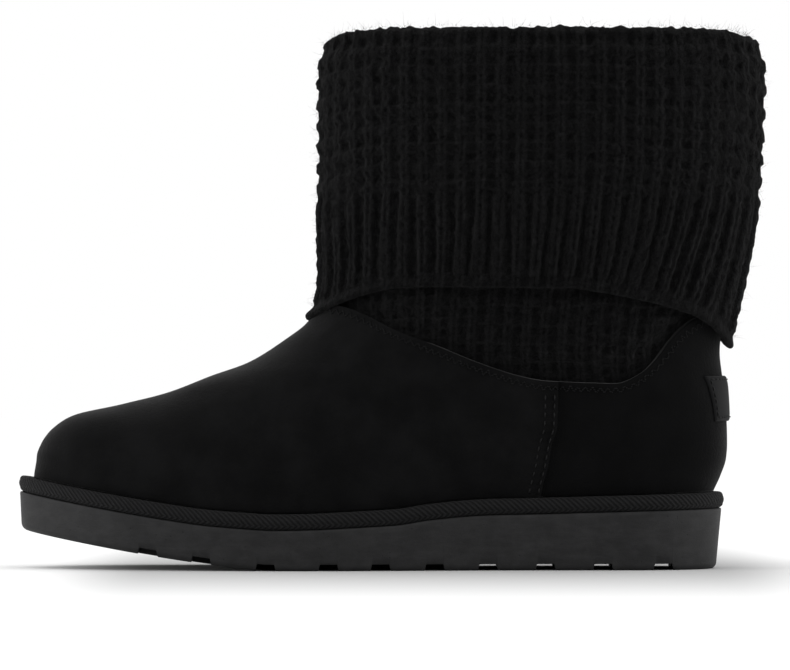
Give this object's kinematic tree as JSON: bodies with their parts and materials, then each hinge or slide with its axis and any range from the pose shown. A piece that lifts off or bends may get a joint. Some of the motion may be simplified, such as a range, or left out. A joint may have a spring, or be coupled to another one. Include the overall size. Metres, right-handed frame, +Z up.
{
  "type": "pull-on ankle boot with turned-down knit cuff",
  "caption": "Left winter ankle boot: suede foot with a scalloped collar, knitted shaft folded down as a wide cuff, tape-bound platform and grooved wedge outsole.",
  "frame": {"origin": "on the floor, centre of the flat tread block just behind the ball of the foot, on the sole's straight centre line", "axes": "+X from toe to heel, +Y from the outer side to the inner side, +Z up"},
  "size_m": [0.2911, 0.0987, 0.212],
  "materials": {
    "outsole_rubber": "satin black foamed rubber, slightly mottled",
    "bound_tape": "black twill tape with a herringbone weave",
    "insole_pile": "short matte pile",
    "suede": "black suede with a short brushed nap",
    "knit": "chunky matte black wool knit, ribbed below and waffle above",
    "woven_label": "dense plain weave"
  },
  "bodies": {
    "root": {"outsole": "outsole_rubber", "platform": "bound_tape", "insole": "insole_pile", "upper": "suede", "knit_shaft": "knit", "heel_label": "woven_label"}
  },
  "joints": []
}
